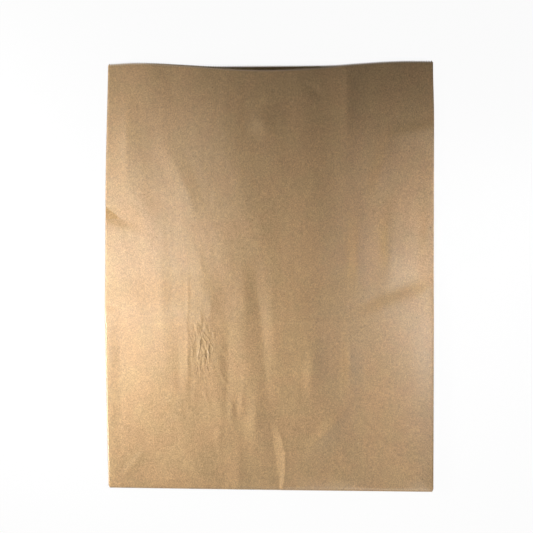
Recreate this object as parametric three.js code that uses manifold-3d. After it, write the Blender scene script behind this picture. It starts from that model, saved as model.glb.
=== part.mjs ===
// A brown paper lunch bag with side gussets and a square base, folded flat and lying on its back.
// It is one sheet of kraft paper, glued into a gusseted tube and closed at one end by a folded base.
// X runs across the bag, Y from the bottom fold to the mouth, Z up from the surface that it lies on.
// The origin is under the middle of the bag. All lengths are in millimetres.
import * as THREE from "three";
import { mergeVertices } from "three/addons/utils/BufferGeometryUtils.js";
import Module from "manifold-3d";

const wasm = await Module();
wasm.setup();

// Driving dimensions of the folded bag.
const bagWidth = 254; // across the front panel, between the side folds
const bagHeight = 330; // from the bottom fold to the points of the mouth's teeth
const gussetDepth = 130; // the side gusset opened out, which is also the short side of the base
const flapLap = 12; // how far the two long flaps of the base lie over each other
const seamWidth = 12; // the glued strip down the back panel
const seamOffset = 34; // from the middle of the bag to the middle of that strip
const paper = 0.2; // thickness of one ply
const air = 0.3; // space between two plies that aren't glued

// The serrated cut at both ends of the tube.
const toothPitch = 1.92;
const toothDepth = 1.1;

// How the paper springs at rest: the front panel bows up, and its mouth edge draws back with it.
const baseLift = 1.5; // rise of the front panel's middle at the bottom fold
const bodyLift = 6.2; // the same, further up
const mouthLift = 9.5; // the same, at the mouth
const bodyLiftLength = 150; // distance from the bottom fold over which bodyLift is reached
const mouthLiftLength = 120; // distance from the mouth over which mouthLift is reached
const bowPower = 1.5; // how flat the bow runs out at the side folds
const frontDrawBack = 6; // of the front panel's mouth edge, in the middle
const backDrawBack = 2.5; // of the back panel's mouth edge, in the middle
const drawBackReach = 100; // half the width over which the mouth edges draw back
const settleLength = 40; // distance above the base in which the back panel comes down to the surface
const frontGussetShare = 0.45; // share of the bow that the gusset's front half takes
const backGussetShare = 0.35; // share of the bow that the gusset's back half takes

// Fineness of the surfaces.
const panelSteps = 12; // columns across a panel
const gussetSteps = 2; // columns across half a gusset
const baseSteps = 3; // rows up each half of the base's depth
const bodySteps = 7; // rows from the base to the mouth
const foldSteps = 4; // facets round a fold
const mouthBand = 8; // height of the last row, which holds the teeth
const trim = 2; // what the serrated cut takes off at the least
const cutterReach = 30; // how far the cutters reach past the paper

// Levels of the plies, from the outer flap of the base up to the front panel.
const halfWidth = bagWidth / 2;
const plyStep = paper + air;
const outerFlapLevel = 0;
const innerFlapLevel = outerFlapLevel + paper;
const sideFlapLevel = innerFlapLevel + paper;
const baseTriangleLevel = sideFlapLevel + plyStep;
const backTriangleLevel = baseTriangleLevel + plyStep;
const foldedBackLevel = backTriangleLevel + plyStep;
const backLevel = foldedBackLevel + plyStep;
const backGussetLevel = backLevel + plyStep;
const frontGussetLevel = backGussetLevel + plyStep;
const frontLevel = frontGussetLevel + plyStep;

// Outer radius of the fold that joins the plies at two levels.
const foldRadius = (low, high) => (high + paper - low) / 2;
const sideRadius = foldRadius(backLevel, backGussetLevel);
const bottomRadius = foldRadius(outerFlapLevel, frontLevel);
const hingeRadius = foldRadius(innerFlapLevel, foldedBackLevel);
const gussetRadius = foldRadius(backTriangleLevel, backGussetLevel);
const mitreRadius = foldRadius(baseTriangleLevel, frontGussetLevel);

// Where the flat plies end and the folds begin.
const sideEdge = halfWidth - sideRadius;
const gussetEdge = halfWidth - gussetDepth / 2 + sideRadius;
const bottomEdge = bottomRadius;
const halfFold = gussetDepth / 2 + gussetRadius;
const hingeEdge = gussetDepth - hingeRadius;
const mitreStart = sideRadius + Math.SQRT2 * mitreRadius;
const mitreEnd = hingeEdge - sideRadius;
const mitreTop = (mitreStart + mitreEnd) / 2;
const flapReach = (gussetDepth + flapLap) / 2;

// Evenly spaced values from one to another, both included.
const spread = (from, to, steps) =>
  Array.from({ length: steps + 1 }, (_, i) => from + ((to - from) * i) / steps);

const lowerRows = spread(mitreStart, mitreTop, baseSteps);
const tuckRows = spread(halfFold, mitreEnd, baseSteps);
const bodyRows = [
  ...spread(mitreEnd, bagHeight - mouthBand, bodySteps).slice(1),
  bagHeight + trim,
];

// Rise of the front panel above its folded place.
function bow(x, y) {
  const across = Math.max(0, 1 - (x / halfWidth) ** 2) ** bowPower;
  const body = THREE.MathUtils.smoothstep(y, 0, bodyLiftLength);
  const mouth = THREE.MathUtils.smoothstep(y, bagHeight - mouthLiftLength, bagHeight);
  return across * (baseLift + (bodyLift - baseLift) * body + (mouthLift - bodyLift) * mouth);
}

// Drop of the panels above the base, down to the surface.
const settle = (y) =>
  backLevel * THREE.MathUtils.smoothstep(y, gussetDepth, gussetDepth + settleLength);

// A folded point moved to where it rests. Rounding makes points that meet the same to the last digit.
function rest(x, y, z, share) {
  const height = z + share * bow(x, y) - settle(y);
  return [x, y, height].map((value) => Math.round(value * 1e4) / 1e4);
}

// A closed geometry as a solid, with its faces turned outwards.
function solidOf(geometry) {
  const bare = geometry.clone();
  bare.deleteAttribute("normal");
  bare.deleteAttribute("uv");
  const merged = mergeVertices(bare, 1e-5);
  const points = merged.attributes.position.array;
  const triangles = [];
  let volume = 0;
  for (let i = 0; i < merged.index.count; i += 3) {
    const corners = Array.from(merged.index.array.slice(i, i + 3));
    if (new Set(corners).size < 3) continue;
    triangles.push(corners);
    const [a, b, c] = corners.map((k) => new THREE.Vector3().fromArray(points, 3 * k));
    volume += a.dot(b.cross(c)) / 6;
  }
  if (volume < 0) triangles.forEach((corners) => corners.reverse());
  const mesh = new wasm.Mesh({
    numProp: 3,
    vertProperties: points,
    triVerts: new Uint32Array(triangles.flat()),
  });
  return new wasm.Manifold(mesh);
}

// A slab whose points are given by a function of their place along, across and through it.
function slab(alongSteps, acrossSteps, place) {
  const geometry = new THREE.BoxGeometry(1, 1, 1, acrossSteps, alongSteps, 1);
  const position = geometry.attributes.position;
  for (let i = 0; i < position.count; i += 1) {
    const along = Math.round((position.getY(i) + 0.5) * alongSteps);
    const across = Math.round((position.getX(i) + 0.5) * acrossSteps);
    position.setXYZ(i, ...place(along, across, position.getZ(i) + 0.5));
  }
  return solidOf(geometry);
}

// A flat ply: rows are its y values, and columns(y) its x values in a row.
function ply({ level, share = 0, rows, columns }) {
  return slab(rows.length - 1, columns(rows[0]).length - 1, (row, column, through) =>
    rest(columns(rows[row])[column], rows[row], level + through * paper, share),
  );
}

// A rounded fold: half a ring of paper along a crease, from the ply at one level to that at another.
function fold({ low, high, lowShare = 0, highShare = 0, crease, outward }) {
  const radius = foldRadius(low, high);
  return slab(crease.length - 1, foldSteps, (step, facet, through) => {
    const turn = (Math.PI * facet) / foldSteps;
    const reach = (radius - (1 - through) * paper) * Math.sin(turn);
    const rise = (radius - (1 - through) * paper) * -Math.cos(turn);
    const [x, y] = crease[step];
    const share = lowShare + ((highShare - lowShare) * facet) / foldSteps;
    // The bow and the settling are those of the crease, so that a fold keeps its round section.
    const height = rest(x, y, low + radius + rise, share)[2];
    const point = [x + outward[0] * reach, y + outward[1] * reach, height];
    return point.map((value) => Math.round(value * 1e4) / 1e4);
  });
}

// A straight serrated cut across the tube, with all that lies beyond it.
function serratedCutter(edge, beyond, drawBack = 0) {
  const half = toothPitch / 2;
  const count = 2 * Math.ceil((halfWidth + toothPitch) / toothPitch);
  const line = [];
  for (let i = -count; i <= count; i += 1) {
    const x = i * half;
    const bell = Math.abs(x) < drawBackReach ? Math.cos((Math.PI * x) / (2 * drawBackReach)) ** 2 : 0;
    const tooth = i % 2 === 0 ? toothDepth : 0;
    line.push(new THREE.Vector2(x, edge - beyond * (tooth + drawBack * bell)));
  }
  const far = edge + beyond * cutterReach;
  const end = line.at(-1).x;
  const outline = [new THREE.Vector2(-end, far), ...line, new THREE.Vector2(end, far)];
  const geometry = new THREE.ExtrudeGeometry(new THREE.Shape(outline), {
    depth: 2 * cutterReach,
    bevelEnabled: false,
  });
  geometry.translate(0, 0, -cutterReach);
  return solidOf(geometry);
}

const join = (solids) => solids.reduce((whole, solid) => whole.add(solid));
const bothSides = (make) => [1, -1].flatMap((side) => make(side));

// The front panel, the fold at its foot and the outer flap of the base.
const hingeEnd = halfWidth - bottomRadius;
const hingeColumns = spread(-hingeEnd, hingeEnd, panelSteps);
const frontColumns = [-sideEdge, ...hingeColumns, sideEdge];
const frontPanel = ply({
  level: frontLevel,
  share: 1,
  rows: [bottomEdge, ...lowerRows, ...tuckRows, ...bodyRows],
  columns: () => frontColumns,
});
const bottomFold = fold({
  low: outerFlapLevel,
  high: frontLevel,
  highShare: 1,
  crease: hingeColumns.map((x) => [x, bottomEdge]),
  outward: [0, -1],
});
const outerFlap = ply({
  level: outerFlapLevel,
  rows: [bottomEdge, flapReach + trim],
  columns: (y) => spread(-(halfWidth - y), halfWidth - y, panelSteps),
}).subtract(serratedCutter(flapReach, 1));

// The back panel, the fold half-way up the base, its turned-back foot and the inner flap of the base.
const backColumns = spread(-sideEdge, sideEdge, panelSteps);
const acrossCrease = (columns, y) => columns.map((x) => [x, y]);
const backPanel = ply({
  level: backLevel,
  rows: [...tuckRows, ...bodyRows],
  columns: () => backColumns,
});
const halfWayFold = fold({
  low: foldedBackLevel,
  high: backLevel,
  crease: acrossCrease(backColumns, halfFold),
  outward: [0, -1],
});
const foldedBack = ply({
  level: foldedBackLevel,
  rows: [...tuckRows, hingeEdge],
  columns: () => backColumns,
});
const innerFlapHalf = (y) => halfWidth - (gussetDepth - y);
const backHinge = fold({
  low: innerFlapLevel,
  high: foldedBackLevel,
  crease: acrossCrease(spread(-innerFlapHalf(hingeEdge), innerFlapHalf(hingeEdge), panelSteps), hingeEdge),
  outward: [0, 1],
});
const innerFlap = ply({
  level: innerFlapLevel,
  rows: [gussetDepth - flapReach - trim, hingeEdge],
  columns: (y) => spread(-innerFlapHalf(y), innerFlapHalf(y), panelSteps),
}).subtract(serratedCutter(gussetDepth - flapReach, -1));

// The lap of the glued seam, on the inside of the back panel and of its turned-back foot.
const seamColumns = spread(seamOffset - seamWidth / 2, seamOffset + seamWidth / 2, 1);
const seam = [
  ply({ level: backLevel + paper, rows: [...tuckRows, ...bodyRows], columns: () => seamColumns }),
  ply({ level: foldedBackLevel - paper, rows: [...tuckRows, hingeEdge], columns: () => seamColumns }),
  fold({
    low: foldedBackLevel - paper,
    high: backLevel + paper,
    crease: acrossCrease(seamColumns, halfFold),
    outward: [0, -1],
  }),
];

// Half a gusset's front, from the side fold to its inner crease, or to the mitre at the base.
const mitreInset = (y) => y - mitreStart;
const gussetColumns = (side) => (y) =>
  spread(side * sideEdge, side * (y < halfFold ? sideEdge - mitreInset(y) : gussetEdge), gussetSteps);
const alongSide = (rows, x) => rows.map((y) => [x, y]);
const diagonal = Math.SQRT1_2;

const frontGussets = bothSides((side) => [
  ply({
    level: frontGussetLevel,
    share: frontGussetShare,
    rows: [...lowerRows, ...tuckRows, ...bodyRows],
    columns: gussetColumns(side),
  }),
  fold({
    low: frontGussetLevel,
    high: frontLevel,
    lowShare: frontGussetShare,
    highShare: 1,
    crease: alongSide([...lowerRows, ...tuckRows, ...bodyRows], side * sideEdge),
    outward: [side, 0],
  }),
  fold({
    low: backGussetLevel,
    high: frontGussetLevel,
    lowShare: backGussetShare,
    highShare: frontGussetShare,
    crease: alongSide([...tuckRows, ...bodyRows], side * gussetEdge),
    outward: [-side, 0],
  }),
]);

// The gusset's back half, with its folds to the back panel and to the triangle beneath.
const backGussets = bothSides((side) => [
  ply({
    level: backGussetLevel,
    share: backGussetShare,
    rows: [...tuckRows, ...bodyRows],
    columns: gussetColumns(side),
  }),
  fold({
    low: backLevel,
    high: backGussetLevel,
    highShare: backGussetShare,
    crease: alongSide([...tuckRows, ...bodyRows], side * sideEdge),
    outward: [side, 0],
  }),
]);

// The gusset's foot: a triangle under the turned-back panel and one on the base, with their folds.
const tuckInset = (y) => Math.min(mitreInset(y), mitreEnd - y);
const triangleColumns = (side) => (y) =>
  spread(side * sideEdge, side * (sideEdge - tuckInset(y)), gussetSteps);
const baseRows = [...lowerRows, ...tuckRows];
const gussetFeet = bothSides((side) => [
  fold({
    low: backTriangleLevel,
    high: backGussetLevel,
    highShare: backGussetShare,
    crease: acrossCrease(gussetColumns(side)(halfFold), halfFold),
    outward: [0, -1],
  }),
  ply({ level: backTriangleLevel, rows: tuckRows, columns: triangleColumns(side) }),
  fold({
    low: backTriangleLevel,
    high: foldedBackLevel,
    crease: alongSide(tuckRows, side * sideEdge),
    outward: [side, 0],
  }),
  ply({ level: baseTriangleLevel, rows: baseRows, columns: triangleColumns(side) }),
  fold({
    low: baseTriangleLevel,
    high: frontGussetLevel,
    highShare: frontGussetShare,
    crease: lowerRows.map((y) => [side * (sideEdge - mitreInset(y)), y]),
    outward: [-side * diagonal, -diagonal],
  }),
  fold({
    low: baseTriangleLevel,
    high: backTriangleLevel,
    crease: tuckRows.map((y) => [side * (sideEdge - mitreEnd + y), y]),
    outward: [-side * diagonal, diagonal],
  }),
]);

// The short flaps of the base, and the corners doubled under the mitred ends of the outer flap.
const sideFlaps = bothSides((side) => [
  ply({
    level: sideFlapLevel,
    rows: baseRows,
    columns: () => spread(side * sideEdge, side * (halfWidth - flapReach), gussetSteps),
  }),
  fold({
    low: sideFlapLevel,
    high: baseTriangleLevel,
    crease: alongSide(baseRows, side * sideEdge),
    outward: [side, 0],
  }),
  ply({
    level: innerFlapLevel,
    rows: [bottomEdge, flapReach],
    columns: (y) => spread(side * (halfWidth - y), side * (halfWidth - flapReach), 1),
  }),
]);

// The bag: the front and the back of the tube are cut along their own mouth edges, then joined.
const front = join([frontPanel, ...frontGussets]).subtract(serratedCutter(bagHeight, 1, frontDrawBack));
const back = join([backPanel, ...seam, ...backGussets]).subtract(serratedCutter(bagHeight, 1, backDrawBack));
const base = join([
  bottomFold,
  outerFlap,
  halfWayFold,
  foldedBack,
  backHinge,
  innerFlap,
  ...gussetFeet,
  ...sideFlaps,
]);
const whole = join([front, back, base]);

// A solid's surface as a geometry for drawing.
function geometryOf(solid) {
  const { vertProperties, triVerts, numProp } = solid.getMesh();
  const corners = new Float32Array(triVerts.length * 3);
  triVerts.forEach((vertex, i) =>
    corners.set(vertProperties.subarray(vertex * numProp, vertex * numProp + 3), 3 * i),
  );
  const geometry = new THREE.BufferGeometry();
  geometry.setAttribute("position", new THREE.BufferAttribute(corners, 3));
  geometry.computeVertexNormals();
  return geometry;
}

const kraftPaper = new THREE.MeshStandardMaterial({ color: 0xb08f6a, roughness: 0.85, metalness: 0 });
const paperBag = new THREE.Mesh(geometryOf(whole), kraftPaper);
paperBag.name = "paper_bag";
paperBag.position.y = -bagHeight / 2;

const bag = new THREE.Group();
bag.add(paperBag);
export default bag;
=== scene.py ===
# %% [markdown]
# # A brown paper lunch bag, folded flat
#
# The real bag is one sheet of kraft paper. It is glued into a tube with a gusset down each side, and one
# end of the tube is folded over and glued to make a square base. Folded flat it lies on its back, the
# plain front panel up, and the paper's own spring keeps the mouth a little open.
#
# The frame that is loaded first holds the bag's solid: its sizes, its folds and where it lies. This
# script dresses that solid. Each ply is a surface worked out from two parameters, so that every fold
# stays where the solid has it, and the wrinkles and imprints are added to its height.

from math import pi, radians, sqrt

import bpy
import numpy as np
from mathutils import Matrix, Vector


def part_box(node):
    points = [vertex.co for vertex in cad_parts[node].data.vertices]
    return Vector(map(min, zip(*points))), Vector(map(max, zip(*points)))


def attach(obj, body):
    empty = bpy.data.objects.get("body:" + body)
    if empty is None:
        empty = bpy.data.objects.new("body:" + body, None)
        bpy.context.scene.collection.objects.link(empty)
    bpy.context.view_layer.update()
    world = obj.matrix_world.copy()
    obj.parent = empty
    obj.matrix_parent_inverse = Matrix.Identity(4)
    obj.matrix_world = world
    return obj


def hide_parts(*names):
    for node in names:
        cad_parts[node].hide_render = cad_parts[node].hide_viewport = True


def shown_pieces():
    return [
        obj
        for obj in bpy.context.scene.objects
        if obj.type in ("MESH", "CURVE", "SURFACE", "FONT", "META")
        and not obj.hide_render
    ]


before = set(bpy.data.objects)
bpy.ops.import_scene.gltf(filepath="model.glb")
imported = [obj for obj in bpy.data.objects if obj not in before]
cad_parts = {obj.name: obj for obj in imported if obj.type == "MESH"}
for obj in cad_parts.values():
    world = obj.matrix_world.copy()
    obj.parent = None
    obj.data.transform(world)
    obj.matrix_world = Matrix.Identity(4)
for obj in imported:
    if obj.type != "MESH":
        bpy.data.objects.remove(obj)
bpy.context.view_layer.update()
(low_x, low_y, low_z), (high_x, high_y, high_z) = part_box("paper_bag")

# %% [markdown]
# ## Sizes
#
# All sizes are in millimetres, because paper is thought of in millimetres, and `MM` turns them into
# Blender's metres at the end. The overall size comes from the frame. The rest are the sizes that the
# bag is folded from. Two flaps of 71 mm close a base 130 mm deep, so they overlap by 12 mm. Each level
# is the underside of one ply above the surface that the bag lies on.

# %% Sizes of the folded bag
MM = 0.001
WIDTH = (high_x - low_x) / MM
LENGTH = (high_y - low_y) / MM
HALF = WIDTH / 2
GUSSET = 130
FLAP_REACH = 71
PAPER = 0.2
PLY_STEP = 0.5
SEAM_EDGE, SEAM_WIDTH = 40, 12
TOOTH_PITCH, TOOTH_DEPTH = 1.92, 1.6

OUTER_FLAP, INNER_FLAP, SIDE_FLAP = 0, PAPER, 2 * PAPER
BASE_TRIANGLE, BACK_TRIANGLE, FOLDED_BACK, BACK, BACK_GUSSET, FRONT_GUSSET, FRONT = (
    SIDE_FLAP + PLY_STEP * step for step in range(1, 8)
)


def fold_radius(low, high):
    """Middle radius of the fold between plies at two levels: half the height between their middles."""
    return (high - low) / 2


SIDE_EDGE = HALF - fold_radius(BACK, BACK_GUSSET) - PAPER / 2
GUSSET_EDGE = HALF - GUSSET / 2 + fold_radius(BACK, BACK_GUSSET) + PAPER / 2
BOTTOM_EDGE = fold_radius(OUTER_FLAP, FRONT) + PAPER / 2
HALF_FOLD = GUSSET / 2 + fold_radius(BACK_TRIANGLE, BACK_GUSSET) + PAPER / 2
HINGE_EDGE = GUSSET - fold_radius(INNER_FLAP, FOLDED_BACK) - PAPER / 2
MITRE_START = HALF - SIDE_EDGE + sqrt(2) * (fold_radius(BASE_TRIANGLE, FRONT_GUSSET) + PAPER / 2)
MITRE_END = HINGE_EDGE - (HALF - SIDE_EDGE)
MITRE_TOP = (MITRE_START + MITRE_END) / 2
print(f"bag {WIDTH:.0f} by {LENGTH:.0f} mm, front panel {FRONT:.1f} mm up at the base")

# %% [markdown]
# ## Camera
#
# The photograph looks straight down on the bag. Its right edge measures a little longer than its left,
# so the camera stands a few degrees to the right of the middle and leans back to it. A long lens keeps
# the sides nearly parallel.

# %% Camera
PICTURE_WIDTH = 0.4122
LENS, SENSOR = 80, 36
LEAN = radians(3.2)
ROLL = radians(0.15)
AIM = Vector((-0.0014, 0.0073, 0.0))

camera_data = bpy.data.cameras.new("camera")
camera_data.lens, camera_data.sensor_width = LENS, SENSOR
camera = bpy.data.objects.new("camera", camera_data)
bpy.context.collection.objects.link(camera)
distance = PICTURE_WIDTH * LENS / SENSOR
camera.location = AIM + distance * Vector((np.sin(LEAN), 0, np.cos(LEAN)))
camera.rotation_euler = (0, LEAN, ROLL)
bpy.context.scene.camera = camera
print(f"camera {distance:.2f} m above the bag")

# %% [markdown]
# ## How the paper rests
#
# Folded paper never lies dead flat. The front panel bows up between its side folds, most at the mouth,
# and the plies between the panels take a share of that bow. Beyond the thick base, everything comes
# down to the surface. A cloth simulation could bend the plies, but it would drape them as fabric does,
# and kraft keeps its creases. So the bow is a formula, and the solid is bowed by the same one, which
# keeps the looks in its place. Only the front's mouth edge draws back a little further than the solid's.

# %% Bow and settling
BASE_LIFT, BODY_LIFT, MOUTH_LIFT = 1.5, 6.2, 9.5
BODY_LIFT_LENGTH, MOUTH_LIFT_LENGTH = 150, 120
BOW_POWER = 1.5
SETTLE_LENGTH = 40
FRONT_GUSSET_SHARE, BACK_GUSSET_SHARE = 0.45, 0.35
FRONT_DRAW, FRONT_DRAW_REACH = 7.2, 115
BACK_DRAW, BACK_DRAW_START, BACK_DRAW_END = 2.6, 35, 105
INNER_STEP, INNER_START, INNER_END = 0.7, 80, 110
CORNER_DIP, DIP_START, TOOTH_PROUD = 0.7, 102, 0.45


def smooth(value, start, end):
    """Smooth step: 0 before start, 1 after end, and the cubic 3t^2 - 2t^3 between."""
    t = np.clip((value - start) / (end - start), 0, 1)
    return t * t * (3 - 2 * t)


def bow(x, y):
    """Rise of the front panel: (1 - (x / half width)^2)^1.5, times an amount that grows along the bag."""
    across = np.clip(1 - (x / HALF) ** 2, 0, 1) ** BOW_POWER
    body = (BODY_LIFT - BASE_LIFT) * smooth(y, 0, BODY_LIFT_LENGTH)
    mouth = (MOUTH_LIFT - BODY_LIFT) * smooth(y, LENGTH - MOUTH_LIFT_LENGTH, LENGTH)
    return across * (BASE_LIFT + body + mouth)


def settle(y):
    """Drop of every ply above the base, from its folded level down to the surface."""
    return BACK * smooth(y, GUSSET, GUSSET + SETTLE_LENGTH)


def rest(x, y, level, share):
    """Middle height of a ply: its level and half its thickness, a share of the bow, less the drop."""
    return level + PAPER / 2 + share * bow(x, y) - settle(y)


def front_draw(x):
    """How far the front's mouth edge lies back: a cosine-squared bell plus a dip at the left corner.

    The points of the teeth stand a little proud of that line.
    """
    bell = np.cos(pi * np.clip(x / FRONT_DRAW_REACH, -1, 1) / 2) ** 2
    return FRONT_DRAW * bell + CORNER_DIP * smooth(-x, DIP_START, HALF) - TOOTH_PROUD


def back_draw(x):
    """The same for the back: flat in the middle, and a step short of the front's edge near the corners."""
    flat = BACK_DRAW * (1 - smooth(abs(x), BACK_DRAW_START, BACK_DRAW_END))
    step = INNER_STEP * smooth(abs(x), INNER_START, INNER_END)
    return flat + step + CORNER_DIP * smooth(-x, DIP_START, HALF) - TOOTH_PROUD


print(f"front panel {rest(0, LENGTH, FRONT, 1):.1f} mm up at the mouth, drawn back {front_draw(0):.1f} mm")

# %% [markdown]
# ## Creases and wrinkles of the front panel
#
# What makes the flat brown rectangle read as paper is its relief, a few tenths of a millimetre to
# 2.4 mm high: the base's edge and the gusset's creases printed through from beneath, soft folds that
# run up the bag, a crushed patch, and a pleat at the foot. The finest are ridges with a bell for a
# section. The rest are folds: a crease with a slope to each side of it, and each slope has a width of
# its own, so that one side can catch the light and the other not. They could be a bump in the material,
# but a bump has no outline and throws no shadow, so they are shape. No ridge is made narrower than the
# grid's columns can draw.

# %% Ridges and folds
FINEST, FINEST_CRUSHED = 1.05, 0.6
RIDGE_FADE = 0.3
FOLD_OVERRUN, FOLD_FADE = 0.1, 0.5
ROUNDING, PLEAT_ROUNDING = 1.5, 0.2
FLANK_POWER = 1.5


def ridge(x, y, start, end, width, height):
    """Bell-shaped ridge along a segment: height times exp(-(distance / width)^2), faded at both ends."""
    (x0, y0), (x1, y1) = start, end
    length = np.hypot(x1 - x0, y1 - y0)
    along = ((x - x0) * (x1 - x0) + (y - y0) * (y1 - y0)) / length
    off = ((x - x0) * (y1 - y0) - (y - y0) * (x1 - x0)) / length
    past = np.maximum(np.maximum(-along, along - length), 0)
    fade = smooth(along, -width, RIDGE_FADE * length) * smooth(length - along, -width, RIDGE_FADE * length)
    return height * fade * np.exp(-(off**2 + past**2) / width**2)


def flanks(off, left, right, rounding=ROUNDING):
    """Section of a fold: 1 at its rounded crease, and (1 - distance / width)^1.5 out to each side."""
    out = np.hypot(off, rounding) - rounding
    return np.clip(1 - out / np.where(off < 0, left, right), 0, 1) ** FLANK_POWER


def fold(x, y, start, end, left, right, height):
    """Crease from start to end with a flank to its left and one to its right, faded at both ends."""
    (x0, y0), (x1, y1) = start, end
    length = np.hypot(x1 - x0, y1 - y0)
    along = ((x - x0) * (x1 - x0) + (y - y0) * (y1 - y0)) / length
    off = ((y - y0) * (x1 - x0) - (x - x0) * (y1 - y0)) / length
    over, full = -FOLD_OVERRUN * length, FOLD_FADE * length
    return height * smooth(along, over, full) * smooth(length - along, over, full) * flanks(off, left, right)


def pleat(x, y, crest, widths, heights, step, tail):
    """Fold with a winding crease: a share of its height drops at once past it, the rest over a long tail.

    The crest is a line of places from top to bottom, and widths and heights are blended along it.
    """
    along, off = crest[::-1, 1], x - np.interp(y, crest[::-1, 1], crest[::-1, 0])
    height, left = np.interp(y, along, heights[::-1]), np.interp(y, along, widths[::-1])
    long, short = flanks(off, left, tail, PLEAT_ROUNDING), flanks(off, left, FINEST, PLEAT_ROUNDING)
    return height * ((1 - step) * long + step * short)


print(f"ridges from {FINEST_CRUSHED} mm wide, creases rounded over {ROUNDING} mm")

# %% [markdown]
# The lists below give each wrinkle its place, in millimetres from the bag's middle and from the bottom
# fold. The places were read off the photo, and widths and heights were adjusted, one after another,
# until the light fell on each much as it does there.

# %% The wrinkles, one by one
APEX = 62

# Printed through from beneath: start, end, width and height of each.
IMPRINTS = [
    ((-127, 130), (127, 130), 0.8, 0.20),
    ((124, 3), (APEX, 64), 0.8, 0.34),
    ((-124, 3), (-93, 34), 0.9, 0.24),
    ((-93, 34), (-APEX, 64), 0.9, 0.12),
    ((APEX, 64), (APEX, 190), 1.2, 0.16),
    ((57, 69), (57, 130), 0.8, 0.20),
    ((49, 98), (49, 124), 1.1, 0.18),
    ((-APEX, 70), (-APEX, 182), 1.2, 0.22),
]

# Folds, from the mouth down: start and end of the crease, the widths of the slopes to its left and
# right for someone who looks from its end back to its start, and its height. Valleys are below zero.
FOLDS = [
    ((59.6, 350), (59.6, 244), 17, 15, 2.40),
    ((28, 309), (42, 304), 6, 4, -0.90),
    ((-13, 290), (4, 274), 11, 22, 1.50),
    ((84, 268), (138, 283), 14, 7, 1.40),
    ((95, 282), (80, 222), 7, 10, 2.00),
    ((-111, 306), (-111, 210), 14, 20, 1.40),
    ((-80, 268), (-55, 210), 9, 10, 0.62),
    ((32, 249), (46, 243), 5, 3, -0.45),
    ((-120, 246), (-86, 198), 8, 16, 0.60),
    ((-160, 223), (-92, 202), 6.5, 9, -1.30),
    ((91, 220), (91, 168), 5, 6, 1.50),
    ((121, 240), (121, 158), 5, 5, 1.10),
    ((68, 216), (68, 146), 7, 8, 1.40),
    ((-53.4, 190), (-50, 140), 8, 10, 0.50),
    ((-19.4, 180), (-17.8, 122), 12, 9, 0.60),
    ((-9.5, 178), (0.2, 56), 14, 10, -0.90),
    ((-84.5, 182), (-81.5, 108), 10, 8, 0.62),
    ((126, 167), (50, 133), 11, 8, -0.90),
    ((136, 170), (112, 146), 6, 3, 0.80),
    ((87, 156), (86, 132), 4, 4, 0.55),
    ((-44, 160), (-44, 124), 6, 9, 0.50),
    ((-31.5, 134), (-30.5, 54), 7, 12, -0.66),
    ((-69.7, 132), (-69.7, 70), 9, 7, -0.50),
    ((62.5, 120), (62.5, 62), 8, 9, 1.00),
    ((35.8, 116), (31.5, 68), 6, 9, 0.62),
    ((-9.2, 76), (-9.8, 32), 9, 14, 0.95),
    ((-28.4, 74), (-27.7, 48), 3.4, 2.4, 0.45),
    ((-20.1, 78), (-20.1, 58), 2.6, 1.8, 0.30),
    ((-37.9, 57), (-37.9, 31), 3.5, 3.5, 0.36),
    ((64, 67), (27, 27), 6, 16, 1.50),
    ((-92, 33), (-124, -3), 4, 2.4, 0.26),
    ((-23.3, 38), (-23.3, -22), 10, 9, 0.60),
    ((150, 4.4), (44, 3.2), 24, 6, 0.26),
    ((-78, 3), (-48, 8), 3, 3, -0.40),
]

# Sharp creases, where the paper was pinched.
SHARP_CREASES = [
    ((-128, 142), (-119, 140), 1.8, -0.45),
    ((-31, 6), (-30.5, -2), 0.8, 0.30),
    ((-50, 78), (-46, 66), 0.9, 0.22),
    ((-38, 92), (-32, 82), 0.9, 0.22),
]

# The pleat at the foot: its crest from top to bottom, the width of its left flank, and its height.
PLEAT_CREST = np.array(
    [(6.0, 56), (7.9, 46), (10.4, 40), (13.1, 30), (13.1, 18), (12.6, 11), (11.2, 4), (10.4, -4)]
)
PLEAT_WIDTHS = np.array([4.0, 4.6, 6.2, 8.8, 6.8, 4.4, 2.6, 1.6])
PLEAT_HEIGHTS = np.array([0, 0.55, 1.05, 1.50, 1.50, 1.35, 1.00, 0.90])
PLEAT_STEP, PLEAT_TAIL = 0.12, 40

# The crushed patch, over the inner crease of the left gusset: short ridges and valleys.
CRUSHED = [
    ((-61.4, 138), (-61.4, 120), 0.9, -0.26),
    ((-51.7, 134), (-51.7, 128), 0.7, 0.36),
    ((-55.6, 128), (-54.4, 120), 0.8, 0.40),
    ((-54.4, 120), (-51.7, 117), 0.7, 0.27),
    ((-48.6, 129), (-47.8, 124), 0.7, 0.29),
    ((-47.8, 124), (-44.0, 117), 0.8, 0.21),
    ((-50.5, 128), (-50.5, 122), 0.7, -0.27),
    ((-42.0, 122), (-41.6, 117), 0.6, 0.29),
    ((-52.3, 116), (-53.3, 111), 1.1, 0.48),
    ((-50.9, 111), (-48.6, 106), 0.7, 0.29),
    ((-45.5, 113), (-46.7, 107), 0.7, 0.34),
    ((-45.5, 108), (-46.3, 98), 0.7, 0.38),
    ((-47.4, 107), (-46.9, 99), 0.7, -0.29),
    ((-36.2, 130), (-34.7, 127), 0.6, 0.27),
    ((-56.0, 112), (-55.0, 104), 1.2, -0.21),
    ((-50.0, 103), (-49.0, 95), 1.0, 0.19),
]
print(len(IMPRINTS) + len(SHARP_CREASES) + len(CRUSHED), "ridges and", len(FOLDS), "folds named by hand")

# %% [markdown]
# Round the crushed patch the paper is cockled by more small ridges than are worth naming, and towards the
# left corner of the foot it is dimpled. They are drawn at random inside an oval, mostly along the bag,
# from a fixed seed, so that every run gives the same bag. The whole sheet is a little uneven too, as any
# sheet is that has taken up damp, and it springs up just inside its two side folds.

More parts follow.
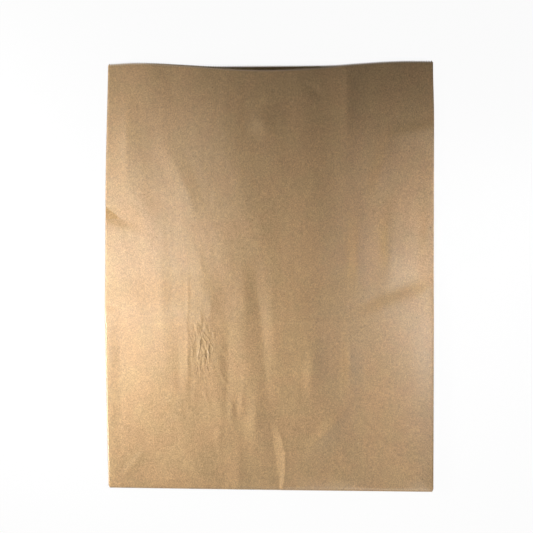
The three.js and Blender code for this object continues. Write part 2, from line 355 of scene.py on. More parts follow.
# %% Cockles, dimples and the paper's own unevenness
random = np.random.default_rng(9)
UPWARD = 0.5 * pi
COCKLE_MIDDLE, COCKLE_REACH = (-48, 108), (16, 34)
DIMPLE_MIDDLE, DIMPLE_REACH = (-62, 52), (26, 34)


def scattered(count, middle, reach, spread, arms, widths, heights):
    """Ridges at random places in an oval: spread is how far they lean, the rest are ranges."""
    ridges = []
    for _ in range(count):
        turn, out = random.uniform(0, 2 * pi), sqrt(random.uniform(0, 1))
        place = np.array(middle) + out * np.array(reach) * (np.cos(turn), np.sin(turn))
        lean, length = random.normal(UPWARD, spread), random.uniform(*arms)
        arm = length * np.array((np.cos(lean), np.sin(lean)))
        ridges.append((place - arm, place + arm, random.uniform(*widths), random.uniform(*heights)))
    return ridges


cockles = scattered(26, COCKLE_MIDDLE, COCKLE_REACH, 0.35, (3, 8), (0.9, 1.8), (-0.12, 0.14))
dimples = scattered(34, DIMPLE_MIDDLE, DIMPLE_REACH, 0.5, (1, 3), (1.8, 3.2), (-0.15, 0.15))

WAVES = 14
WAVE_RATIO = 620
wave_length = random.uniform(26, 90, WAVES)
wave_turn = random.normal(0, 0.5, WAVES)
wave_start = random.uniform(0, 2 * pi, WAVES)


def unevenness(x, y):
    """Sum of shallow waves, mostly across the bag, each as high as a 620th of its length."""
    total = np.zeros_like(x)
    for length, turn, start in zip(wave_length, wave_turn, wave_start):
        place = x * np.cos(turn) + y * np.sin(turn)
        total += length / WAVE_RATIO * np.sin(2 * pi * place / length + start)
    return total


# The wrinkles' places are measured from a line this far right of the middle.
MEASURED_FROM = 0.6
SPRING, SPRING_WIDTH = 0.45, 14
CALM_SIDE, CALM_FOOT = 12, 10


def relief(x, y):
    """Height of everything on the bow: the unevenness, the spring of the side folds, ridges and folds."""
    foot = smooth(y, 0, CALM_FOOT)
    total = unevenness(x, y) * smooth(HALF - abs(x), 0, CALM_SIDE) * foot
    from_fold = np.clip((HALF - abs(x)) / SPRING_WIDTH, 0, 1)
    total += SPRING * (1 - (1 - from_fold) ** 2) * foot
    x = x - MEASURED_FROM
    for start, end, width, height in IMPRINTS + SHARP_CREASES + cockles + dimples:
        total += ridge(x, y, start, end, max(width, FINEST), height)
    for start, end, width, height in CRUSHED:
        total += ridge(x, y, start, end, max(width, FINEST_CRUSHED), height)
    for start, end, left, right, height in FOLDS:
        total += fold(x, y, start, end, left, right, height)
    return total + pleat(x, y, PLEAT_CREST, PLEAT_WIDTHS, PLEAT_HEIGHTS, PLEAT_STEP, PLEAT_TAIL)


across, along = np.meshgrid(np.linspace(-HALF, HALF, 128), np.linspace(0, LENGTH, 166))
print(f"{len(cockles)} cockles, {len(dimples)} dimples, relief up to {relief(across, along).max():.1f} mm")

# %% [markdown]
# ## From formulas to meshes
#
# Bend modifiers could fold a flat sheet, but they wouldn't keep a dozen plies apart by a set step, and
# formulas do. Every ply is a grid: rows up the bag, columns across or round its folds. A grid of points
# becomes a mesh of quads in one call, its faces looking out of the bag. Solidify gives it the paper's
# thickness, half to each side, and gives the side that looks into the bag the second material. The
# bag's edges aren't quite straight: the sides draw in where the front bows, and `outline` moves every
# ply with them.

# %% Mesh helpers
FOOT_INSET, FOOT_INSET_END, FOOT_INSET_POWER = 3.6, 160, 1.3
MOUTH_INSET, MOUTH_INSET_START, MOUTH_INSET_PAST = 1.9, 225, 15
RIGHT_INSET, RIGHT_INSET_START = 0.9, 285


def outline(points):
    """Draws the long sides in: the left by (1 - y / end)^1.3 at the foot, both by smooth steps at the mouth.

    A point moves by the side's inset times the cube of its share of the way from the middle to that side.
    """
    x, y = points[..., 0], points[..., 1]
    foot = FOOT_INSET * np.clip(1 - y / FOOT_INSET_END, 0, 1) ** FOOT_INSET_POWER
    mouth = MOUTH_INSET * smooth(y, MOUTH_INSET_START, LENGTH + MOUTH_INSET_PAST)
    right = RIGHT_INSET * smooth(y, RIGHT_INSET_START, LENGTH)
    moved = points.copy()
    moved[..., 0] += np.clip(-x / HALF, 0, 1) ** 3 * (foot + mouth) - np.clip(x / HALF, 0, 1) ** 3 * right
    return moved


def sheet(name, points, cut_rows=()):
    """Mesh object from a grid of points in millimetres, given the paper's thickness. Reports its size.

    Rows where the knife cut the paper get 1 in the attribute "cut", which the material reads to paint
    a pale highlight there.
    """
    points = outline(np.asarray(points, float))
    rows, columns = points.shape[:2]
    index = np.arange(rows * columns).reshape(rows, columns)
    quads = np.stack([index[:-1, :-1], index[1:, :-1], index[1:, 1:], index[:-1, 1:]], -1).reshape(-1, 4)
    world = points.reshape(-1, 3) - (0, LENGTH / 2, 0)
    mesh = bpy.data.meshes.new(name)
    mesh.from_pydata((world * MM).tolist(), [], quads.tolist())
    mesh.polygons.foreach_set("use_smooth", np.ones(len(quads), bool))
    cut = np.zeros((rows, columns))
    cut[list(cut_rows)] = 1
    mesh.attributes.new("cut", "FLOAT", "POINT").data.foreach_set("value", cut.ravel())
    mesh.validate()
    piece = bpy.data.objects.new(name, mesh)
    bpy.context.collection.objects.link(piece)
    wall = piece.modifiers.new("thickness", "SOLIDIFY")
    wall.thickness, wall.offset = PAPER * MM, 0
    wall.material_offset = 1
    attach(piece, "root")
    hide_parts("paper_bag")
    print(f"{name}: {rows} by {columns} points")
    return piece


def lerp(start, end, t):
    """Straight blend from start to end."""
    return start + (end - start) * t


left_side = np.array([(-HALF, 0, 0), (-HALF, LENGTH, 0)])
at_foot, at_mouth = outline(left_side)[:, 0] + HALF
print(f"left side {at_foot:.1f} mm in at the foot and {at_mouth:.1f} mm at the mouth")

# %% [markdown]
# ## The front sheet
#
# The front panel, the fold at its foot and the outer flap of the base are one run of paper. Its path
# goes down the panel, round a half ring, and back along the underside. The columns are half a tooth
# apart, so that moving every second point of the first and last row gives the serrated edges. The rows
# and columns are drawn together round the crushed patch, where the wrinkles are finest.

# %% Front sheet
HALF_TEETH = 264
ROW_STOPS, ROW_STEPS = (LENGTH - 2 * TOOTH_DEPTH, 142, 60, BOTTOM_EDGE), (74, 50, 32)
FOLD_ROWS, FLAP_ROWS = 8, 10
MOUTH_BAND = 40
GATHER, GATHER_REACH = 0.5, (24, 34)
across = np.linspace(-1, 1, HALF_TEETH + 1)


def half_ring(count):
    """Angles from 0 to pi, without the two ends, which belong to the plies that the fold joins."""
    return np.linspace(0, pi, count + 2)[1:-1]


def tooth_wave(x):
    """Height of the serrated cut at x: a triangle wave of the tooth's pitch and depth."""
    return TOOTH_DEPTH * abs(2 * (x / TOOTH_PITCH % 1) - 1)


def mouth_rows(count, lowest):
    """Rows from just under the teeth down to the lowest, and one more for the points of the teeth."""
    return np.concatenate([[LENGTH], np.linspace(LENGTH - 2 * TOOTH_DEPTH, lowest, count)])


def panel_rows():
    """Rows of the front panel, closer together where the paper is crushed."""
    spans = zip(ROW_STOPS, ROW_STOPS[1:], ROW_STEPS)
    rows = [np.linspace(high, low, steps, endpoint=False) for high, low, steps in spans]
    return np.concatenate([[LENGTH], *rows, [BOTTOM_EDGE]])


def pull_mouth(x, y, draw):
    """Moves rows near the mouth back with its edge, and cuts the teeth into the first row."""
    y = y - draw * smooth(y, LENGTH - MOUTH_BAND, LENGTH)
    y[0] -= tooth_wave(x[0])
    return y


def gather(x, y):
    """Draws the grid together round the crushed patch, to half its spacing in the middle of it."""
    right, up = x - COCKLE_MIDDLE[0], y - COCKLE_MIDDLE[1]
    pull = GATHER * np.exp(-((right / GATHER_REACH[0]) ** 2) - (up / GATHER_REACH[1]) ** 2)
    return x - pull * right, y - pull * up


def front_sheet():
    """Panel, half ring and flap in one grid: heights from rest() and relief(), and a circle for the fold."""
    x, y = gather(*np.meshgrid(across * SIDE_EDGE, panel_rows()))
    y = pull_mouth(x, y, front_draw(x))
    panel = np.stack([x, y, rest(x, y, FRONT, 1) + relief(x, y)], -1)

    turn = half_ring(FOLD_ROWS)[:, None]
    radius = fold_radius(OUTER_FLAP, FRONT)
    x = across * lerp(SIDE_EDGE, HALF - BOTTOM_EDGE, turn / pi)
    y = BOTTOM_EDGE - radius * np.sin(turn) + 0 * x
    share = 1 - turn / pi
    height = PAPER / 2 + radius * (1 + np.cos(turn))
    height = height + share * (bow(x, 0 * x) + relief(x, 0 * x + BOTTOM_EDGE))
    ring = np.stack([x, y, height], -1)

    rows = np.linspace(BOTTOM_EDGE, FLAP_REACH - TOOTH_DEPTH, FLAP_ROWS)[:, None]
    x = across * (HALF - rows)
    flap = np.stack([x, rows + 0 * x, 0 * x + OUTER_FLAP + PAPER / 2], -1)
    x = across * (HALF - FLAP_REACH)
    teeth = np.stack([x, FLAP_REACH - tooth_wave(x), 0 * x + OUTER_FLAP + PAPER / 2], -1)
    return np.concatenate([panel, ring, flap, teeth[None]])


sheet("front_sheet", front_sheet(), cut_rows=(0, -1))

# %% [markdown]
# ## The back sheet
#
# The back panel runs from the mouth down to half the base's depth, turns back up on itself, and turns
# once more into the inner flap of the base. Along one side of the glued seam the paper steps up by its
# own thickness, where it passes over the lap, a strip inside the back panel.

# %% Back sheet
BACK_ROWS, FOLDED_ROWS = 84, 16
SEAM_COLUMNS = 14
SEAM_STEP, SEAM_FADE = 0.6, 14


def seam_step(x):
    """Height of the seam's step: one thickness of paper just past the lap's edge, dying away beyond it."""
    past = x - SEAM_EDGE
    return PAPER * smooth(past, 0, SEAM_STEP) * np.exp(-np.clip(past, 0, None) / SEAM_FADE)


def back_sheet():
    """Back panel, half ring, turned-back foot, half ring and flap, in one grid."""
    rows = mouth_rows(BACK_ROWS, HALF_FOLD)
    x, y = np.meshgrid(across * SIDE_EDGE, rows)
    y = pull_mouth(x, y, back_draw(x))
    panel = np.stack([x, y, rest(x, y, BACK, 0) + seam_step(x)], -1)

    turn = half_ring(FOLD_ROWS)[:, None]
    radius = fold_radius(FOLDED_BACK, BACK)
    x = across * SIDE_EDGE + 0 * turn
    height = FOLDED_BACK + PAPER / 2 + radius * (1 + np.cos(turn))
    first = np.stack([x, HALF_FOLD - radius * np.sin(turn) + 0 * x, height + 0 * x], -1)

    x, y = np.meshgrid(across * SIDE_EDGE, np.linspace(HALF_FOLD, HINGE_EDGE, FOLDED_ROWS))
    folded = np.stack([x, y, 0 * x + FOLDED_BACK + PAPER / 2], -1)

    radius = fold_radius(INNER_FLAP, FOLDED_BACK)
    flap_end = HALF - (GUSSET - HINGE_EDGE)
    x = across * lerp(SIDE_EDGE, flap_end, turn / pi)
    height = INNER_FLAP + PAPER / 2 + radius * (1 + np.cos(turn))
    second = np.stack([x, HINGE_EDGE + radius * np.sin(turn) + 0 * x, height + 0 * x], -1)

    rows = np.linspace(HINGE_EDGE, GUSSET - FLAP_REACH + TOOTH_DEPTH, FLAP_ROWS)[:, None]
    x = across * (HALF - GUSSET + rows)
    flap = np.stack([x, rows + 0 * x, 0 * x + INNER_FLAP + PAPER / 2], -1)
    x = across * (HALF - FLAP_REACH)
    teeth = np.stack([x, GUSSET - FLAP_REACH + tooth_wave(x), 0 * x + INNER_FLAP + PAPER / 2], -1)
    return np.concatenate([panel, first, folded, second, flap, teeth[None]])[:, ::-1]


def seam_lap():
    """Strip of the back panel's own paper, one thickness above it."""
    columns = np.linspace(SEAM_EDGE - SEAM_WIDTH, SEAM_EDGE, SEAM_COLUMNS)
    x, y = np.meshgrid(columns, mouth_rows(BACK_ROWS, HALF_FOLD))
    y = pull_mouth(x, y, back_draw(x))
    return np.stack([x, y, rest(x, y, BACK, 0) + PAPER], -1)[:, ::-1]


sheet("back_sheet", back_sheet(), cut_rows=(-1,))
sheet("seam_lap", seam_lap())

# %% [markdown]
# ## The gussets
#
# At any height a gusset is a zigzag of straight runs and half rings from the front panel's edge to the
# back panel's. So it is built as a path: runs and rings are worked out for all rows at once and set end
# to end. `side` is 1 on the right and -1 on the left.

# %% Runs and rings
RUN_COLUMNS, RING_COLUMNS = 14, 7
TOOTH_COLUMNS = 68
SIDES = {1: "right", -1: "left"}


def run(side, start, end, y, level, share, columns=RUN_COLUMNS):
    """Flat stretch of a path, from start to end across the bag, at one level."""
    x = side * lerp(start, end, np.linspace(0, 1, columns))
    x, y = np.broadcast_arrays(x, y)
    return np.stack([x, y, rest(x, y, level, share)], -1)


def ring(side, at, outward, y, high, low, shares, stretch=1, lift=0):
    """Half ring of a path, from the ply at the high level to that at the low one, bulging outward."""
    turn = half_ring(RING_COLUMNS)
    radius = fold_radius(low, high)
    x = side * (at + outward * stretch * radius * np.sin(turn))
    x, y = np.broadcast_arrays(x, y)
    share = lerp(shares[0], shares[1], turn / pi)
    height = rest(side * at + 0 * x, y, low + radius * (1 + np.cos(turn)), share)
    return np.stack([x, y, height + lift * (1 - turn / pi)], -1)


def path(*stretches):
    """Stretches of a path set end to end, as one grid."""
    return np.concatenate(stretches, 1)


def front_edge(side, rows):
    """Edge point of the front panel in each row, and the relief there, which the fold beside it follows."""
    lift = relief(side * SIDE_EDGE + 0 * rows, rows)
    edge = run(side, SIDE_EDGE, SIDE_EDGE, rows, FRONT, 1)[:, :1]
    edge[..., 2] += lift
    return edge, lift


print("one half ring turns in", RING_COLUMNS, "steps, a run takes", RUN_COLUMNS, "columns")

# %% [markdown]
# Above the base the path is front edge, front half, inner crease, back half, back edge. Its rows end in
# teeth at the mouth. The front half is cut back with the front panel, and the back half with whichever
# of the two panels lies further back.

# %% Upper part of each gusset
UPPER_ROWS = 110


def upper_gusset(side):
    """Zigzag from the front's edge to the back's, for all rows from the mouth down to the base's middle."""
    rows = mouth_rows(UPPER_ROWS, HALF_FOLD)[:, None]
    edge, lift = front_edge(side, rows)
    front_share, back_share = FRONT_GUSSET_SHARE, BACK_GUSSET_SHARE
    upper = path(
        edge,
        ring(side, SIDE_EDGE, 1, rows, FRONT, FRONT_GUSSET, (1, front_share), lift=lift),
        run(side, SIDE_EDGE, GUSSET_EDGE, rows, FRONT_GUSSET, front_share, TOOTH_COLUMNS),
        ring(side, GUSSET_EDGE, -1, rows, FRONT_GUSSET, BACK_GUSSET, (front_share, back_share)),
        run(side, GUSSET_EDGE, SIDE_EDGE, rows, BACK_GUSSET, back_share, TOOTH_COLUMNS),
        ring(side, SIDE_EDGE, 1, rows, BACK_GUSSET, BACK, (back_share, 0)),
        run(side, SIDE_EDGE, SIDE_EDGE, rows, BACK, 0)[:, :1],
    )
    x, columns = upper[..., 0], upper.shape[1]
    inside = smooth(np.arange(columns), 0, 0.5 * columns)
    draw = lerp(front_draw(x), np.maximum(front_draw(x), back_draw(x)), inside)
    upper[..., 1] = pull_mouth(x, upper[..., 1], draw)
    return upper[:, ::side]


for side, name in SIDES.items():
    sheet(f"gusset_{name}", upper_gusset(side), cut_rows=(0,))

# %% [markdown]
# ## The gusset's foot
#
# In the base each gusset is mitred: its front half narrows to nothing at the corner, and beneath it two
# triangles lie on the short flap. The mitre fold runs at 45 degrees. A level slice through a half ring
# on such a fold is the ring stretched by the square root of two.

# %% Lower part of each gusset
LOWER_ROWS = 26
FLAP_EDGE = HALF - FLAP_REACH


def gusset_foot(side):
    """Zigzag from the front's edge, round the mitre, to the side flap, for rows up to the mitre's top."""
    rows = np.linspace(MITRE_START, MITRE_TOP, LOWER_ROWS)[:, None]
    inner = SIDE_EDGE - (rows - MITRE_START)
    edge, lift = front_edge(side, rows)
    share = FRONT_GUSSET_SHARE
    foot = path(
        edge,
        ring(side, SIDE_EDGE, 1, rows, FRONT, FRONT_GUSSET, (1, share), lift=lift),
        run(side, SIDE_EDGE, inner, rows, FRONT_GUSSET, share),
        ring(side, inner, -1, rows, FRONT_GUSSET, BASE_TRIANGLE, (share, 0), stretch=sqrt(2)),
        run(side, inner, SIDE_EDGE, rows, BASE_TRIANGLE, 0),
        ring(side, SIDE_EDGE, 1, rows, BASE_TRIANGLE, SIDE_FLAP, (0, 0)),
        run(side, SIDE_EDGE, FLAP_EDGE, rows, SIDE_FLAP, 0),
    )
    return foot[::-1, ::side]


def gusset_tuck(side):
    """The same from the folded back's edge, round the upper mitre, for rows above the mitre's top."""
    rows = np.linspace(MITRE_TOP, MITRE_END, LOWER_ROWS)[:, None]
    inner = SIDE_EDGE - (MITRE_END - rows)
    tuck = path(
        run(side, SIDE_EDGE, SIDE_EDGE, rows, FOLDED_BACK, 0)[:, :1],
        ring(side, SIDE_EDGE, 1, rows, FOLDED_BACK, BACK_TRIANGLE, (0, 0)),
        run(side, SIDE_EDGE, inner, rows, BACK_TRIANGLE, 0),
        ring(side, inner, -1, rows, BACK_TRIANGLE, BASE_TRIANGLE, (0, 0), stretch=sqrt(2)),
        run(side, inner, SIDE_EDGE, rows, BASE_TRIANGLE, 0),
        ring(side, SIDE_EDGE, 1, rows, BASE_TRIANGLE, SIDE_FLAP, (0, 0)),
        run(side, SIDE_EDGE, FLAP_EDGE, rows, SIDE_FLAP, 0),
    )
    return tuck[::-1, ::side]


for side, name in SIDES.items():
    sheet(f"gusset_foot_{name}", gusset_foot(side))
    sheet(f"gusset_tuck_{name}", gusset_tuck(side))

# %% [markdown]
# Two small pieces close each side: the fold that joins the back half of the gusset to the triangle
# beneath it, and the corner where the outer flap of the base lies double.

# %% Folds under the gussets, and the doubled corners of the base
def gusset_fold(side):
    """Half circle at the foot of the gusset's back half, from its level down to the triangle's."""
    x = side * np.linspace(SIDE_EDGE, GUSSET_EDGE, RUN_COLUMNS)[None, :]
    turn = np.linspace(0, pi, FOLD_ROWS + 2)[:, None]
    radius = fold_radius(BACK_TRIANGLE, BACK_GUSSET)
    share = BACK_GUSSET_SHARE * (1 - turn / pi)
    height = rest(x, HALF_FOLD + 0 * x, BACK_TRIANGLE + radius * (1 + np.cos(turn)), share)
    y = HALF_FOLD - radius * np.sin(turn) + 0 * x
    return np.stack([x + 0 * y, y, height], -1)[:, ::-side]


def base_corner(side):
    """Flat triangle: each row runs from the mitred edge of the flap in to the flap's own corner."""
    rows = np.linspace(BOTTOM_EDGE, FLAP_REACH - 1, FLAP_ROWS)[:, None]
    x = side * lerp(HALF - rows, FLAP_EDGE, np.linspace(0, 1, FLAP_ROWS))
    return np.stack([x, rows + 0 * x, 0 * x + INNER_FLAP + PAPER / 2], -1)[:, ::side]


for side, name in SIDES.items():
    sheet(f"gusset_fold_{name}", gusset_fold(side))
    sheet(f"base_corner_{name}", base_corner(side))

# %% [markdown]
# ## Kraft paper
#
# Brown kraft is unbleached wood pulp. Close up it is a felt of fibres with dark specks of bark and a
# few pale shives, and further off it is faintly cloudy. All of it comes from noise on Object
# coordinates, in metres, so each scale below is about one over the size of what it draws. Along the
# knife-cut edges a pale highlight is painted into the colour. The outside has a faint glaze from the
# drying cylinder, and the inside has none.

# %% Node helpers
def node(tree, kind, inputs=(), **settings):
    """Adds a node, sets its settings, and fills its inputs with values or links."""
    made = tree.nodes.new(kind)
    for key, value in settings.items():
        setattr(made, key, value)
    for key, value in dict(inputs).items():
        if isinstance(value, bpy.types.NodeSocket):
            tree.links.new(value, made.inputs[key])
        else:
            made.inputs[key].default_value = value
    return made


def noise(tree, place, scale, detail, stretch=(1, 1, 1), roughness=0.5, shift=(0, 0, 0)):
    """Noise of a given scale on a stretched place. Returns its value."""
    mapped = node(tree, "ShaderNodeMapping", {"Vector": place, "Scale": stretch, "Location": shift})
    inputs = {"Vector": mapped.outputs[0], "Scale": scale, "Detail": detail, "Roughness": roughness}
    return node(tree, "ShaderNodeTexNoise", inputs).outputs[0]


def ramp(tree, value, start, end, low=0.0, high=1.0):
    """Value mapped from the span start to end onto low to high, and held there."""
    inputs = {0: value, 1: start, 2: end, 3: low, 4: high}
    return node(tree, "ShaderNodeMapRange", inputs).outputs[0]


def mix(tree, factor, first, second, blend="MIX"):
    """Colour mix of first and second."""
    made = node(tree, "ShaderNodeMix", data_type="RGBA", blend_type=blend)
    for key, value in ((0, factor), (6, first), (7, second)):
        if isinstance(value, bpy.types.NodeSocket):
            tree.links.new(value, made.inputs[key])
        else:
            made.inputs[key].default_value = value
    return made.outputs[2]


def arithmetic(tree, operation, *values):
    """Result of one sum on one or two values."""
    return node(tree, "ShaderNodeMath", enumerate(values), operation=operation).outputs[0]


def bump(tree, height, strength, distance, normal=None):
    """Normal tilted by a height. The distance is in metres."""
    inputs = {"Strength": strength, "Distance": distance, "Height": height}
    if normal is not None:
        inputs["Normal"] = normal
    return node(tree, "ShaderNodeBump", inputs).outputs[0]


print("node helpers: noise, ramp, mix, arithmetic and bump")

# %% [markdown]
# The paper could be covered with a scanned picture, but noise never repeats, has no seams at the folds
# and needs no file. The colours come first, then how strong each mark is, then the bumps that are too
# fine for the grid: the felt's grain, the cockle of drying, and hair creases in the crushed patch.

# %% Kraft paper material
KRAFT = (0.440, 0.280, 0.139, 1)
ROSY, OLIVE = (1.01, 0.99, 0.98, 1), (0.985, 1.005, 0.985, 1)
FLECK = (0.14, 0.070, 0.034, 1)
SHIVE = (0.68, 0.50, 0.30, 1)
# Pale colour painted on the knife-cut edges as a highlight.
PAINTED_EDGE_HIGHLIGHT = (0.72, 0.53, 0.34, 1)
GLAZE, INSIDE_GLAZE = 0.4, 0.0

# Noise runs from about 0.3 to 0.7. The tones are what it is spread over.
MIDDLE = (0.3, 0.7)
CLOUD_TONES, MOTTLE_TONES, FIBRE_TONES = (0.95, 1.05), (0.90, 1.10), (0.65, 1.35)
ROUGHNESS = (0.33, 0.41)

# Only the peaks of the noise make a mark: where it starts and is full, and how strong it is at each.
SPECKS, FLECKS, SHIVES = (0.68, 0.76, 0, 0.4), (0.775, 0.80, 0, 0.75), (0.72, 0.80, 0, 0.5)
# The painted highlight on the cut edges: where the attribute starts and is full, and how strong it is.
EDGE_HIGHLIGHT_SPAN = (0.3, 0.7, 0, 0.9)
ALONG_FIBRES, ACROSS_FIBRES = (1, 0.7, 1), (0.6, 1, 1)

# The crushed patch, in metres, and how far to each side a crease in it reaches.
CRUSH_PLACE, CRUSH_SIZE = (-0.050, -0.055, 0.0085), (0.014, 0.034, 0.003)
CREASE_REACH = 0.06

# Strength and height of each bump.
GRAIN_BUMP, COCKLE_BUMP, CREASE_BUMP = (0.35, 0.00018), (0.7, 0.0005), (0.5, 0.0004)


def paper_colour(tree, place):
    """Kraft brown times clouds, mottle and fibres, then the marks and a painted highlight on the cut edges
    mixed over it.
    """
    clouds = ramp(tree, noise(tree, place, 75, 4, roughness=0.6), *MIDDLE, *CLOUD_TONES)
    mottle = ramp(tree, noise(tree, place, 430, 4, roughness=0.7), *MIDDLE, *MOTTLE_TONES)
    felt = noise(tree, place, 1250, 3, stretch=ALONG_FIBRES, roughness=0.7)
    tone = arithmetic(tree, "MULTIPLY", clouds, mottle)
    tone = arithmetic(tree, "MULTIPLY", tone, ramp(tree, felt, *MIDDLE, *FIBRE_TONES))
    grey = node(tree, "ShaderNodeCombineColor", {0: tone, 1: tone, 2: tone}).outputs[0]
    tint = mix(tree, ramp(tree, noise(tree, place, 60, 2, shift=(5, 2, 9)), 0.4, 0.6), ROSY, OLIVE)
    colour = mix(tree, 1.0, mix(tree, 1.0, tint, KRAFT, "MULTIPLY"), grey, "MULTIPLY")

    specks = noise(tree, place, 850, 1, stretch=ALONG_FIBRES, shift=(1, 1, 4))
    flecks = noise(tree, place, 560, 1, stretch=ALONG_FIBRES)
    shives = noise(tree, place, 800, 1, stretch=ACROSS_FIBRES, shift=(3, 7, 1))
    # Rows cut by the knife, which get a painted highlight.
    cut = node(tree, "ShaderNodeAttribute", attribute_name="cut").outputs["Fac"]
    for value, span, paint in (
        (specks, SPECKS, FLECK),
        (flecks, FLECKS, FLECK),
        (shives, SHIVES, SHIVE),
        (cut, EDGE_HIGHLIGHT_SPAN, PAINTED_EDGE_HIGHLIGHT),
    ):
        colour = mix(tree, ramp(tree, value, *span), colour, paint)
    return colour


def crushed_creases(tree, place):
    """Height of fine creases: 1 where a noise crosses its middle value, fading out round the patch."""
    settings = {"Vector": place, "Location": CRUSH_PLACE, "Scale": CRUSH_SIZE}
    spot = node(tree, "ShaderNodeMapping", settings, vector_type="TEXTURE").outputs[0]
    out = node(tree, "ShaderNodeVectorMath", {0: spot}, operation="LENGTH").outputs["Value"]
    wander = noise(tree, place, 210, 1.5, stretch=(1, 0.36, 1), shift=(2, 5, 0))
    off = arithmetic(tree, "ABSOLUTE", arithmetic(tree, "SUBTRACT", wander, 0.5))
    crossing, patch = ramp(tree, off, 0, CREASE_REACH, 1, 0), ramp(tree, out, 0.3, 1.0, 1, 0)
    return arithmetic(tree, "MULTIPLY", crossing, patch)


def kraft_paper(name, glaze):
    """Kraft paper: its colour, a roughness that varies a little, and grain, cockle and creases as bumps."""
    material = bpy.data.materials.new(name)
    material.use_nodes = True
    tree = material.node_tree
    surface = tree.nodes["Principled BSDF"]
    place = node(tree, "ShaderNodeTexCoord").outputs["Object"]
    roughness = ramp(tree, noise(tree, place, 500, 3), *MIDDLE, *ROUGHNESS)
    normal = bump(tree, noise(tree, place, 1300, 4, roughness=0.7), *GRAIN_BUMP)
    normal = bump(tree, noise(tree, place, 130, 3, stretch=(1, 0.45, 1)), *COCKLE_BUMP, normal)
    normal = bump(tree, crushed_creases(tree, place), *CREASE_BUMP, normal)
    tree.links.new(paper_colour(tree, place), surface.inputs["Base Color"])
    tree.links.new(roughness, surface.inputs["Roughness"])
    tree.links.new(normal, surface.inputs["Normal"])
    surface.inputs["Specular IOR Level"].default_value = glaze
    return material


outside, inside = kraft_paper("kraft_paper", GLAZE), kraft_paper("kraft_paper_inside", INSIDE_GLAZE)
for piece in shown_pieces():
    piece.data.materials.clear()
    piece.data.materials.append(outside)
    piece.data.materials.append(inside)

# %% [markdown]
# ## Floor and background
#
# The photograph's background is pure white. The floor shows white to a ray from the camera, and is a
# plain pale grey to the rays that gather light, so that it still takes the bag's shadow. It lies a
# hair below the bag, so that the two surfaces don't fight. A floor lit until it is white would burn the
# bag out too.

# %% Floor
FLOOR_HALF, FLOOR_DROP = 3.0, 0.00005
FLOOR_WHITE = 0.955


def looked_at(tree):
    """1 for a ray from the camera, from a gloss or through glass, and 0 for one that gathers light."""
    rays = node(tree, "ShaderNodeLightPath").outputs
    seen = arithmetic(tree, "MAXIMUM", rays["Is Camera Ray"], rays["Is Glossy Ray"])
    return arithmetic(tree, "MAXIMUM", seen, rays["Is Transmission Ray"])


def floor_material():
    """Mix of a matt grey and a white glow, by whether the floor is looked at."""
    material = bpy.data.materials.new("floor")
    material.use_nodes = True
    tree = material.node_tree
    tree.nodes.clear()
    seen = arithmetic(tree, "MULTIPLY", looked_at(tree), FLOOR_WHITE)
    matt = node(tree, "ShaderNodeBsdfDiffuse", {"Color": (0.8, 0.8, 0.8, 1)})
    white = node(tree, "ShaderNodeEmission", {"Color": (1, 1, 1, 1), "Strength": 1.0})
    blend = node(tree, "ShaderNodeMixShader", {0: seen, 1: matt.outputs[0], 2: white.outputs[0]})
    node(tree, "ShaderNodeOutputMaterial", {0: blend.outputs[0]})
    return material


floor_mesh = bpy.data.meshes.new("floor")
corners = [(x * FLOOR_HALF, y * FLOOR_HALF, 0) for x, y in ((-1, -1), (1, -1), (1, 1), (-1, 1))]
floor_mesh.from_pydata(corners, [], [(0, 1, 2, 3)])
floor_mesh.materials.append(floor_material())
floor = bpy.data.objects.new("floor", floor_mesh)
bpy.context.collection.objects.link(floor)
floor.location.z = -FLOOR_DROP
print("floor", 2 * FLOOR_HALF, "m square")

# %% [markdown]
# Past the floor's edge there is only the world. It has to be white where the camera or a gloss looks at
# it, but as a light it may be no more than a faint fill, because light from all round hides wrinkles.

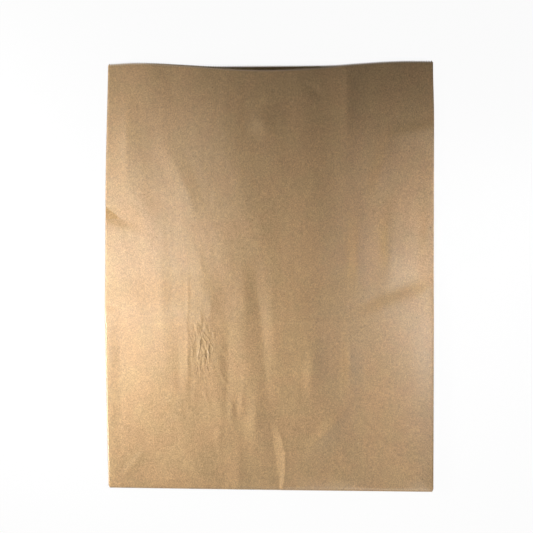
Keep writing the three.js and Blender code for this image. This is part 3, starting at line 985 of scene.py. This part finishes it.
# %% World
WORLD_STRENGTH = 0.06
world = bpy.data.worlds.new("world")
bpy.context.scene.world = world
world.use_nodes = True
tree = world.node_tree
tree.nodes.clear()
strength = ramp(tree, looked_at(tree), 0, 1, WORLD_STRENGTH, 1.0)
sky = node(tree, "ShaderNodeBackground", {"Color": (1, 1, 1, 1), "Strength": strength})
node(tree, "ShaderNodeOutputWorld", {0: sky.outputs[0]})
print("world lights with strength", WORLD_STRENGTH)

# %% [markdown]
# ## Light
#
# The light comes low from the left, so that it rakes over the paper and every slope shows. The key
# light does this for the lower half and the mouth light for the upper half, from nearer by. The foot
# light lifts the front of the bag, and a weak one answers from the right. None of them may be strong on
# the right, because light from both sides would cancel out the wrinkles. The photo also has a white
# sheen near both long sides. It is the mirror image of a lamp, so two narrow lamps hang high up, each
# placed so that the camera sees its reflection at one side.

# %% Lights
def softbox(name, place, length, height, power, aim, beam=180):
    """Oblong area light at a place, turned to face a point. The beam is its spread in degrees."""
    data = bpy.data.lights.new(name, "AREA")
    data.shape, data.size, data.size_y = "RECTANGLE", length, height
    data.energy, data.spread = power, radians(beam)
    light = bpy.data.objects.new(name, data)
    bpy.context.collection.objects.link(light)
    light.location = place
    light.visible_camera = False
    light.rotation_euler = (Vector(aim) - Vector(place)).to_track_quat("-Z", "Y").to_euler()


softbox("key_light", (-0.45, -0.13, 0.16), 0.20, 0.10, 0.32, aim=(-0.03, -0.10, 0), beam=50)
softbox("mouth_light", (-0.28, 0.075, 0.12), 0.20, 0.08, 0.51, aim=(-0.12, 0.075, 0))
softbox("foot_light", (0.15, -0.40, 0.30), 0.20, 0.12, 0.132, aim=(0.06, -0.10, 0), beam=70)
softbox("right_light", (0.35, 0.05, 0.12), 0.10, 0.05, 0.040, aim=(0.14, 0.05, 0), beam=50)
softbox("left_sheen", (-0.38, 0.0, 0.90), 0.15, 0.10, 0.050, aim=(-0.13, 0.0, 0), beam=19)
softbox("right_sheen", (0.40, -0.045, 0.90), 0.15, 0.10, 0.057, aim=(0.17, -0.035, 0), beam=17)
print(len(bpy.data.lights), "lamps,", round(sum(lamp.energy for lamp in bpy.data.lights), 2), "W in all")

# %% [markdown]
# ## Finish
#
# The colours are shown as they are, without a film curve.

# %% View
bpy.context.scene.view_settings.view_transform = "Standard"
